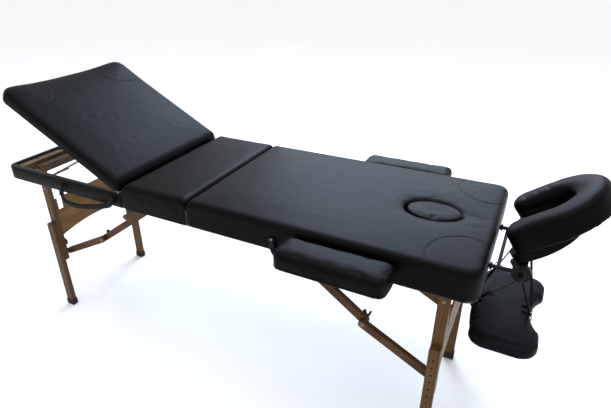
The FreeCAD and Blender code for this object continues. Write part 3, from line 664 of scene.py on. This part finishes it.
def oval_column(centre, z0, z1, shrink=0.0, steps=72):
    cx, major, minor = centre
    verts = []
    for z in (z0, z1):
        for k in range(steps):
            a = 2 * math.pi * k / steps
            verts.append((cx + (major - shrink) * math.cos(a), (minor - shrink) * math.sin(a), z))
    faces = [(k, (k + 1) % steps, steps + (k + 1) % steps, steps + k) for k in range(steps)]
    faces += [tuple(reversed(range(steps))), tuple(range(steps, 2 * steps))]
    return verts, faces


def place(piece, body, slot, fill=None, replaced=()):
    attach(piece, body)
    if replaced:
        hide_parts(*replaced)
    return piece


def join(name, pieces):
    """Joins pieces into the first one, keeping each one's material."""
    mesh = bmesh.new()
    kept = []
    for piece in pieces:
        base = len(mesh.faces)
        mesh.from_mesh(piece.data)
        mesh.faces.ensure_lookup_table()
        for material in piece.data.materials:
            if material not in kept:
                kept.append(material)
        for face in mesh.faces[base:]:
            face.material_index = kept.index(piece.data.materials[face.material_index])
    joined = bpy.data.meshes.new(name)
    mesh.to_mesh(joined)
    mesh.free()
    for material in kept:
        joined.materials.append(material)
    result = bpy.data.objects.new(name, joined)
    bpy.context.scene.collection.objects.link(result)
    for piece in pieces:
        bpy.data.objects.remove(piece)
    return result


# ---- the pads ------------------------------------------------------------------------------
HOLE = (FOLD_X + 0.735, 0.085, 0.0625)
PATCH = [(0.778, 0.2825), (0.769, 0.238), (0.774, 0.201), (0.790, 0.166), (0.813, 0.145),
         (0.850, 0.124), (0.884, 0.124), (0.9155, 0.134)]


def patch_path(sign):
    """Corner seam on the long pad, from its side to its end."""
    return [Vector((FOLD_X + x, sign * y, 0.8)) for x, y in PATCH]


def long_cover():
    x0, x1 = FOLD_X + 0.0009, FOLD_X + HALF_LENGTH
    piece = cover_block("long_cover", x0, x1, (CORNER_R, CORNER_R, 0.006, 0.006), RAIL_LOW, TOP,
                        0.017, 0.007, 0.004, 1, hole=HOLE)
    drop_faces(piece, lambda c, n: c.z < RAIL_LOW + 0.003 and n.z < -0.5)
    inside = lambda c: ((c.x - HOLE[0]) / (HOLE[1] + 0.004)) ** 2 + (c.y / (HOLE[2] + 0.004)) ** 2 < 1
    drop_faces(piece, lambda c, n: inside(c) and c.z < DECK_TOP - 0.003)
    subdivide(piece)
    co = coordinates(piece)
    around = np.hypot((co[:, 0] - HOLE[0]) / HOLE[1], co[:, 1] / HOLE[2])
    lip = np.exp(-((around - 1.0) / 0.10) ** 2) * blur(co[:, 2], TOP - 0.02, TOP - 0.008)
    co[:, 2] -= 0.0040 * lip
    set_coordinates(piece, co)
    seams = []
    for sign in (-1, 1):
        path = bezier(patch_path(sign), 10)
        groove(piece, path, 0.0045, 0.0013)
        seams.append(seam_line("patch_seam", piece, path))
        side = [Vector((FOLD_X + 0.778, sign * 0.2, z)) for z in np.linspace(0.752, 0.676, 24)]
        out = Vector((0, sign, 0))
        line = on_surface(piece, side, 0.0, -out, 0.2)
        seams.append(tube("side_seam", line, 0.0009, VINYL_SEAM, 6))
        shifted = [p + Vector((0.005, 0, 0)) for p in line]
        seams.append(stitches("side_stitch", shifted, 0.0032, 0.0016, 0.0005, THREAD))
    thicken(piece, SKIN)
    ring_path = [Vector((HOLE[0] + (HOLE[1] + 0.0028) * math.cos(a), (HOLE[2] + 0.0028) * math.sin(a), 0.9))
                 for a in np.linspace(0, 2 * math.pi, 96, endpoint=False)]
    rim = tube("rim_piping", on_surface(piece, ring_path, 0.0003), 0.0022, VINYL_SEAM, 10, True)
    place(piece, "long_half", "black_vinyl", 0.9, ("long_pad", "long_skirt"))
    trim = join("long_seams", seams + [rim])
    place(trim, "long_half", "black_vinyl")
    return piece


def seam_line(name, piece, path, offset=0.0042):
    """Seam with a row of top stitching beside it."""
    line = on_surface(piece, path, -0.0002)
    beside = []
    for a, b in zip(line, line[1:]):
        along = (b - a)
        side = along.cross(Vector((0, 0, 1)))
        if side.length > 1e-6:
            beside.append(a + side.normalized() * offset)
    rows = [tube(name, line, 0.0007, VINYL_SEAM, 6)]
    rows.append(stitches(name + "_stitch", on_surface(piece, beside, 0.0001), 0.0034, 0.0016,
                         0.0005, THREAD))
    return join(name, rows)


def seat_cover():
    x0, x1 = FOLD_X - 0.292, FOLD_X - 0.0009
    piece = cover_block("seat_cover", x0, x1, (0.006, 0.006, 0.008, 0.008), RAIL_LOW, TOP, 0.018,
                        0.006, 0.004, 2, hinge=(x0, 0.017, DECK_TOP))
    drop_faces(piece, lambda c, n: c.z < RAIL_LOW + 0.003 and n.z < -0.5)
    drop_faces(piece, lambda c, n: c.z < DECK_TOP - 0.005 and n.x < -0.5)
    subdivide(piece)
    thicken(piece, SKIN)
    place(piece, "back_half", "black_vinyl", 0.85, ("seat_pad", "back_side_vinyl"))
    return piece


def frame_wrap():
    """Vinyl wrapped round the open frame of the back half, on all the sides of its rails."""
    x0, x1 = FOLD_X - HALF_LENGTH, FOLD_X - 0.200
    radii = (0.01, 0.01, CORNER_R, CORNER_R)
    profile = [(0.0015, RAIL_LOW - 0.0004), (0.0, RAIL_LOW + 0.0015), (0.0, RAIL_TOP - 0.003),
               (0.0009, RAIL_TOP - 0.0008), (0.003, RAIL_TOP + 0.00025),
               (0.0235, RAIL_TOP + 0.00025), (WRAP_IN, RAIL_TOP - 0.0016),
               (WRAP_IN, RAIL_LOW + 0.0015), (0.024, RAIL_LOW - 0.0004)]
    verts, faces = [], []
    for inset, z in profile:
        verts += ring(x0, x1, HALF_WIDTH, radii, inset, z, (90, 50, 8))
    n, rows = len(verts) // len(profile), len(profile)
    for j in range(rows):
        for i in range(n):
            a, b = j * n + i, j * n + (i + 1) % n
            c, d = ((j + 1) % rows) * n + (i + 1) % n, ((j + 1) % rows) * n + i
            faces.append((a, b, c, d))
    piece = new_piece("frame_wrap", verts, faces, VINYL)
    mesh = bmesh.new()
    mesh.from_mesh(piece.data)
    cut = bmesh.ops.bisect_plane(mesh, geom=mesh.verts[:] + mesh.edges[:] + mesh.faces[:],
                                 plane_co=(FOLD_X - 0.2925, 0, 0), plane_no=(1, 0, 0),
                                 clear_outer=True)
    bmesh.ops.holes_fill(mesh, edges=[g for g in cut["geom_cut"] if isinstance(g, bmesh.types.BMEdge)],
                         sides=0)
    mesh.to_mesh(piece.data)
    mesh.free()
    co = coordinates(piece)
    outer = (np.abs(co[:, 1]) > HALF_WIDTH - 0.001) | (co[:, 0] < x0 + 0.001)
    mid = blur(co[:, 2], RAIL_LOW, RAIL_LOW + 0.01) * (1 - blur(co[:, 2], RAIL_TOP - 0.01, RAIL_TOP))
    co[:, 1] += np.sign(co[:, 1]) * outer * mid * 0.0006 * ripple(co, 18.0, 9)
    set_coordinates(piece, co)
    return place(piece, "back_half", "black_vinyl")


def backrest_cover():
    x0, x1 = FOLD_X - HALF_LENGTH, FOLD_X - 0.307
    low = RAIL_TOP + 0.0004
    piece = cover_block("backrest_cover", x0, x1, (0.016, 0.016, CORNER_R, CORNER_R), low, TOP,
                        0.018, 0.006, 0.004, 3, hinge=(x1, -0.020, 0.731))
    drop_faces(piece, lambda c, n: c.z < low + 0.003 and n.z < -0.5)
    subdivide(piece)
    co = coordinates(piece)
    corner = np.exp(-((co[:, 0] - x0 - 0.05) ** 2 + (np.abs(co[:, 1]) - 0.245) ** 2) / 0.075 ** 2)
    top = blur(co[:, 2], TOP - 0.025, TOP - 0.01)
    co[:, 2] += top * 0.0062 * corner
    across = np.exp(-((co[:, 0] - x0) / 0.05) ** 2) * np.cos(co[:, 1] / HALF_WIDTH * math.pi / 2)
    co[:, 2] -= top * 0.0095 * across
    set_coordinates(piece, co)
    seams = []
    for sign in (-1, 1):
        path = [Vector((x0 + 0.147 - d, sign * (HALF_WIDTH - w), 0.9)) for d, w in BACK_PATCH]
        curve = bezier(path, 10)
        groove(piece, curve, 0.0045, 0.0008)
        seams.append(seam_line("back_patch", piece, curve))
    thicken(piece, SKIN)
    trim = join("backrest_seams", seams)
    for item in (piece, trim):
        turn_about(item, HINGE, -BACK_TILT)
    place(piece, "backrest", "black_vinyl", 0.85, ("backrest_pad",))
    place(trim, "backrest", "black_vinyl")
    return piece


def plug_cover():
    piece = from_node("plug_cover", "face_hole_plug", VINYL)
    remesh(piece, 0.0035, 3)
    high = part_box("face_hole_plug")[1].z
    stuff(piece, lambda co: 0.0002 + 0.0030 * blur(co[:, 2], high - 0.03, high - 0.004), 5)
    co = coordinates(piece)
    around = np.hypot((co[:, 0] - HOLE[0]) / HOLE[1], co[:, 1] / HOLE[2])
    co[:, 2] -= 0.0060 * blur(co[:, 2], high - 0.02, high - 0.008) * (1 - 0.35 * np.clip(around, 0, 1))
    set_coordinates(piece, co)
    subdivide(piece)
    return place(piece, "face_hole_plug", "black_vinyl", 0.8, ("face_hole_plug",))


def armrest_cover(side):
    sign = -1 if side == "front" else 1
    node = "armrest_%s_pad" % side
    low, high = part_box(node)
    piece = from_node("armrest_%s_cover" % side, node, VINYL)
    remesh(piece, 0.005, 3)

    def cap(co):
        inner = np.minimum(np.minimum(co[:, 0] - low.x, high.x - co[:, 0]),
                           np.minimum(co[:, 1] - low.y, high.y - co[:, 1]))
        return 0.0012 + 0.0038 * blur(inner, 0, 0.04) * blur(co[:, 2], high.z - 0.03, high.z - 0.008)

    stuff(piece, cap, 11 + sign)
    co = coordinates(piece)
    co[:, 2] += 0.0005 * ripple(co, 16.0, 12 + sign) * blur(co[:, 2], high.z - 0.03, high.z - 0.01)
    set_coordinates(piece, co)
    subdivide(piece)
    band = []
    for offset, build in ((0.0, "weld"), (0.0055, "stitch")):
        level = high.z - 0.017 - offset
        loop = side_loop(piece, low, high, level)
        if build == "weld":
            band.append(tube("weld", loop, 0.0010, VINYL_SEAM, 6, True))
        else:
            band.append(stitches("row", loop + loop[:1], 0.0034, 0.0017, 0.00055, THREAD))
    lower = side_loop(piece, low, high, low.z + 0.009)
    band.append(tube("hem", lower, 0.0011, VINYL_SEAM, 6, True))
    trim = join("armrest_%s_seams" % side, band)
    body = "armrest_" + side
    place(piece, body, "black_vinyl", 0.9, (node,))
    place(trim, body, "black_vinyl")


def side_loop(piece, low, high, level, steps=180, squareness=0.35):
    """Closed line round a piece's side at one level, by casting rays in from outside."""
    tree = BVHTree.FromPolygons([v.co for v in piece.data.vertices],
                                [p.vertices[:] for p in piece.data.polygons])
    centre = Vector(((low.x + high.x) / 2, (low.y + high.y) / 2, level))
    half = Vector(((high.x - low.x) / 2, (high.y - low.y) / 2, 0))
    loop = []
    for k in range(steps):
        a = 2 * math.pi * k / steps
        px = math.copysign(abs(math.cos(a)) ** squareness, math.cos(a)) * half.x * 0.9
        py = math.copysign(abs(math.sin(a)) ** squareness, math.sin(a)) * half.y * 0.7
        out = Vector((math.cos(a) * half.x, math.sin(a) * half.y, 0)).normalized()
        start = centre + Vector((px, py, 0)) + out * 0.4
        hit = tree.ray_cast(start, -out)[0]
        if hit is not None:
            loop.append(hit + out * 0.0001)
    return loop


def cradle_local(co):
    """u outwards along the tilted cradle, and w above its axle."""
    x, z = co[:, 0] - CRADLE.x, co[:, 2] - CRADLE.z
    c, s = math.cos(CRADLE_TILT), math.sin(CRADLE_TILT)
    return x * c + z * s, -x * s + z * c


def face_cushion_cover():
    piece = from_node("face_cushion_cover", "face_cushion", CUSHION_VINYL)
    remesh(piece, 0.005, 4)

    def cap(co):
        w = cradle_local(co)[1]
        return 0.0012 + 0.0065 * blur(w, 0.075, 0.112)

    stuff(piece, cap, 21)
    subdivide(piece)
    co = coordinates(piece)
    u, w = cradle_local(co)
    y = co[:, 1]
    radius = np.where(u > 0.130, np.hypot(u - 0.130, y), np.abs(y))
    angle = np.where(u > 0.130, np.arctan2(y, u - 0.130), np.sign(y) * math.pi / 2)
    run = np.where(u > 0.130, angle * 0.1, np.sign(y) * (0.157 + 0.130 - u))
    inner = (1 - blur(radius, 0.062, 0.118)) * blur(w, 0.085, 0.118)
    wave = np.sin(run * 185 + 5.0 * ripple(co, 7.0, 22)) * 0.5 + 0.5
    patchy = blur(ripple(co, 6.0, 23), -0.35, 0.20)
    lift = -0.0056 * inner * wave ** 2.4 * patchy
    c, s = math.cos(CRADLE_TILT), math.sin(CRADLE_TILT)
    lift += 0.0012 * ripple(co, 12.0, 24) * blur(w, 0.08, 0.12)
    co[:, 0] -= s * lift
    co[:, 2] += c * lift
    set_coordinates(piece, co)
    place(piece, "face_cushion", "black_vinyl", 0.85, ("face_cushion",))
    return piece


def shelf_cover():
    low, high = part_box("arm_shelf")
    piece = from_node("arm_shelf_cover", "arm_shelf", SHELF_VINYL)
    remesh(piece, 0.005, 8)

    def cap(co):
        return 0.0010 + 0.0034 * blur(co[:, 2], low.z + 0.012, high.z - 0.004)

    stuff(piece, cap, 31)
    co = coordinates(piece)
    co[:, 2] += 0.0008 * ripple(co, 7.0, 32) * blur(co[:, 2], high.z - 0.02, high.z - 0.006)
    set_coordinates(piece, co)
    subdivide(piece)
    return place(piece, "arm_shelf", "black_vinyl", 0.7, ("arm_shelf",))


# ---- straps, fittings and small hardware ---------------------------------------------------
def ribbon(name, path, wide, thick, across=Vector((0, 0, 1)), material=None):
    """Flat strap along a path: across is the direction of its width."""
    verts, faces = [], []
    for i, point in enumerate(path):
        before, after = path[max(i - 1, 0)], path[min(i + 1, len(path) - 1)]
        along = (after - before).normalized()
        face = along.cross(across).normalized()
        width = face.cross(along).normalized()
        for a, b in ((-1, -1), (-0.93, -1.6), (0, -1.25), (0.93, -1.6), (1, -1), (1, 1),
                     (0.93, 1.6), (0, 1.25), (-0.93, 1.6), (-1, 1)):
            verts.append(point + width * a * wide / 2 + face * b * thick / 3.2)
    k = 10
    for i in range(len(path) - 1):
        for j in range(k):
            a, b = i * k + j, i * k + (j + 1) % k
            faces.append((a, b, b + k, a + k))
    faces.append(tuple(reversed(range(k))))
    faces.append(tuple(range((len(path) - 1) * k, len(path) * k)))
    return new_piece(name, verts, faces, material or STRAP)


def stud(name, place_at, out, radius, high, material):
    """Domed upholstery stud or bolt head on a washer."""
    out = Vector(out).normalized()
    side = out.orthogonal().normalized()
    up = out.cross(side)
    rings = [(1.35, 0.0), (1.35, 0.12), (1.25, 0.20), (1.0, 0.22), (0.97, 0.5), (0.8, 0.8),
             (0.5, 0.95), (0.15, 1.0)]
    verts, faces = [], []
    for r, h in rings:
        for k in range(20):
            a = 2 * math.pi * k / 20
            verts.append(Vector(place_at) + out * high * h
                         + (side * math.cos(a) + up * math.sin(a)) * radius * r)
    for j in range(len(rings) - 1):
        for k in range(20):
            a, b = j * 20 + k, j * 20 + (k + 1) % 20
            faces.append((a, b, b + 20, a + 20))
    faces.append(tuple(range(140, 160)))
    faces.append(tuple(reversed(range(20))))
    return new_piece(name, verts, faces, material)


def carry_strap(name, body, route, y, stud_metal, replaced=()):
    """Limp handle on the front rail with a stud at each end."""
    path = bezier([Vector((FOLD_X + x, y - 0.001 * math.sin(i * 1.3), z))
                   for i, (x, z) in enumerate(route)], 10)
    pieces = [ribbon(name + "_band", path, 0.021, 0.0030)]
    for x, z in (route[0], route[-1]):
        end = Vector((FOLD_X + x, -HALF_WIDTH, z))
        tab = [end + Vector((0, (y + HALF_WIDTH) * 0.5, 0.006)), end + Vector((0, y + HALF_WIDTH, -0.004))]
        pieces.append(ribbon(name + "_tab", tab, 0.026, 0.004, Vector((1, 0, 0))))
        pieces.append(stud(name + "_stud", (end.x, y - 0.0012, z), (0, -1, 0), 0.0038, 0.0024,
                           stud_metal))
    strap = join(name, pieces)
    return place(strap, body, "black_webbing", None, replaced)


def wing_knob(name, centre, out, material):
    """Two-winged clamp knob."""
    out = Vector(out).normalized()
    pieces = [stud(name + "_hub", centre, out, 0.0085, 0.014, material)]
    for sign in (-1, 1):
        wing = [Vector(centre) + out * 0.008,
                Vector(centre) + out * 0.012 + Vector((sign * 0.008, 0, 0.012)),
                Vector(centre) + out * 0.016 + Vector((sign * 0.011, 0, 0.021))]
        pieces.append(ribbon(name + "_wing", bezier(wing, 5), 0.013, 0.007, out, material))
    return join(name, pieces)


def brace_joints(half, sign):
    """Middle bolts of the braces: a wing knob on the inner side, a head and washer outside."""
    upper_low, upper_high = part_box(half + "_upper_braces")
    knee_x = upper_high.x - BRACE_R if sign > 0 else upper_low.x + BRACE_R
    knee_z = upper_low.z + BRACE_R
    heads, knobs = [], []
    for side in (-1, 1):
        inner, outer = side * UPPER_BRACE_IN, side * LOWER_BRACE_OUT
        heads.append(stud("knee_head", (knee_x, outer, knee_z), (0, side, 0), 0.0065, 0.0035, ZINC))
        knobs.append(wing_knob("knee_knob", (knee_x, inner, knee_z), (0, -side, 0), PLASTIC))
    place(join(half + "_knee_heads", heads), half + "_lower_braces", "zinc_steel")
    place(join(half + "_knee_knobs", knobs), half + "_upper_braces", "black_plastic")


def leg_screws(half, sign):
    """Screw heads that fix the panel and the head rail, on the legs' outer faces."""
    x = FOLD_X + sign * PANEL_OUT
    heads = []
    for side in (-1, 1):
        for z in (0.372, 0.440, 0.505):
            heads.append(stud("panel_screw", (x, side * 0.188, z), (sign, 0, 0), 0.0034, 0.0014, ZINC))
        leg = (FOLD_X + sign * 0.835, side * LEG_OUT_Y, 0.60)
        heads.append(stud("leg_screw", leg, (0, side, 0), 0.0040, 0.0018, ZINC))
    place(join(half + "_leg_screws", heads), half + "_legs", "zinc_steel")


def cradle_fittings():
    """Hub caps, axle nuts and rod collars on the cradle frame."""
    pieces = []
    for side in (-1, 1):
        pieces.append(stud("hub_cap", (CRADLE.x, side * HUB_OUT_Y, CRADLE.z), (0, side, 0), 0.0135, 0.006,
                           BLACK_STEEL))
        pieces.append(stud("axle_nut", (CRADLE.x, side * AXLE_END_Y, CRADLE.z), (0, side, 0), 0.0065, 0.004,
                           BLACK_STEEL))
        collar = [Vector((FOLD_X + 0.9262 + 0.0035 * k, side * ROD_Y, CRADLE.z)) for k in range(3)]
        pieces.append(tube("collar", collar, 0.0105, BLACK_STEEL, 20))
    place(join("cradle_fittings", pieces), "cradle_frame", "black_steel")


def shelf_fittings():
    """Strap ends folded over the shelf's edges, and a buckle on each inner strap."""
    low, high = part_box("arm_shelf")
    pieces = []
    for side in (-1, 1):
        for x, top_x in ((low.x - 0.0014, low.x + 0.03), (high.x - WAIST + 0.0014, high.x - WAIST - 0.03)):
            y = side * STRAP_END_Y
            wrap = [Vector((top_x, y, high.z + 0.0065)), Vector(((top_x + 2 * x) / 3, y, high.z + 0.003)),
                    Vector((x, y, high.z - 0.010)), Vector((x, y, low.z + 0.008)),
                    Vector(((top_x + x) / 2, y, low.z - 0.0022))]
            pieces.append(ribbon("strap_end", bezier(wrap, 5), 0.012, 0.0018, Vector((0, 1, 0))))
        start = Vector((CRADLE.x - 0.006, side * SLEEVE_Y, CRADLE.z - 0.005))
        finish = Vector((low.x - 0.0012, side * STRAP_END_Y, (low.z + high.z) / 2))
        at = start.lerp(finish, 0.55)
        along = (finish - start).normalized()
        across = along.cross(Vector((0, 1, 0))).normalized()
        frame_path = [at + along * a * 0.011 + across * b * 0.010 for a, b in
                      ((-1, -1), (-1, 1), (1, 1), (1, -1))]
        pieces.append(tube("buckle", frame_path, 0.0020, PLASTIC, 8, True))
        pieces.append(tube("bar", [at - across * 0.010, at + across * 0.010], 0.0017, PLASTIC, 8))
        tail = [at + along * 0.006, at + along * 0.022 + Vector((-0.004, 0, 0)),
                at + along * 0.040 + Vector((-0.003, 0, -0.004))]
        pieces.append(ribbon("tail", bezier(tail, 6), 0.008, 0.0018, across))
    place(join("shelf_fittings", pieces), "arm_shelf", "black_webbing")


def block_screws():
    """Wood screws in the tops of the socket blocks."""
    heads = []
    for half, sign in (("long", 1), ("back", -1)):
        for side in (-1, 1):
            for y in (0.085, 0.155, 0.235):
                at = (FOLD_X + sign * BLOCK_X, side * y, BLOCK_TOP)
                heads.append((half, stud("block_screw", at, (0, 0, 1), 0.0036, 0.0012, ZINC)))
    for half in ("long", "back"):
        place(join(half + "_block_screws", [h for owner, h in heads if owner == half]), half + "_half",
              "zinc_steel")


# ---- camera, light and floor ---------------------------------------------------------------
def make_camera():
    yaw, pitch, roll = -0.498, 0.485, -0.016
    forward = Vector((math.sin(yaw) * math.cos(pitch), math.cos(yaw) * math.cos(pitch),
                      -math.sin(pitch)))
    right = Vector((math.cos(yaw), -math.sin(yaw), 0))
    up = right.cross(forward)
    tilted_right = right * math.cos(roll) + up * math.sin(roll)
    tilted_up = up * math.cos(roll) - right * math.sin(roll)
    turn = Matrix((tilted_right, tilted_up, -forward)).transposed().to_4x4()
    data = bpy.data.cameras.new("camera")
    data.sensor_width = 36.0
    data.lens = 28.67
    data.shift_x, data.shift_y = 0.0308, 0.0085
    data.clip_end = 200
    camera = bpy.data.objects.new("camera", data)
    camera.matrix_world = Matrix.Translation((FOLD_X + 0.968, -1.382, 1.476)) @ turn
    bpy.context.scene.collection.objects.link(camera)
    bpy.context.scene.camera = camera


def area_light(name, place, target, size, power, colour=(1, 1, 1)):
    data = bpy.data.lights.new(name, "AREA")
    data.shape = "RECTANGLE"
    data.size, data.size_y = size
    data.energy = power
    data.color = colour
    light = bpy.data.objects.new(name, data)
    light.location = place
    light.rotation_mode = "QUATERNION"
    light.rotation_quaternion = (Vector(target) - Vector(place)).to_track_quat("-Z", "Y")
    bpy.context.scene.collection.objects.link(light)


def make_studio():
    world = bpy.data.worlds.new("studio")
    bpy.context.scene.world = world
    world.use_nodes = True
    background = world.node_tree.nodes["Background"]
    background.inputs["Color"].default_value = (0.97, 0.985, 1.0, 1)
    background.inputs["Strength"].default_value = 1.06
    area_light("window", (-0.6, 3.9, 2.8), (0.1, 0, 0.7), (3.2, 1.9), 112, (0.60, 0.76, 1.0))
    area_light("high_window", (-0.95, 3.0, 4.1), (-0.5, 0, 0.85), (1.7, 1.4), 88, (0.62, 0.77, 1.0))
    area_light("overhead", (0.3, -0.4, 4.2), (0.1, 0, 0.5), (3.0, 3.0), 60, (1.0, 0.99, 0.97))
    floor = new_piece("floor", [(-40, -40, 0), (40, -40, 0), (40, 60, 0), (-40, 60, 0)],
                      [(0, 1, 2, 3)], pale_floor("floor_pale"), smooth=False)
    bpy.context.scene.view_settings.view_transform = "Standard"


make_camera()
make_studio()
finish_cad()
long_cover()
seat_cover()
frame_wrap()
backrest_cover()
plug_cover()
armrest_cover("front")
armrest_cover("rear")
face_cushion_cover()
shelf_cover()
carry_strap("back_strap", "back_half", BACK_STRAP, -0.311, BLACK_STEEL, ("back_carry_strap",))
carry_strap("long_strap", "long_half", LONG_STRAP, -0.3035, ZINC)
for half, sign in (("long", 1), ("back", -1)):
    brace_joints(half, sign)
    leg_screws(half, sign)
cradle_fittings()
shelf_fittings()
block_screws()
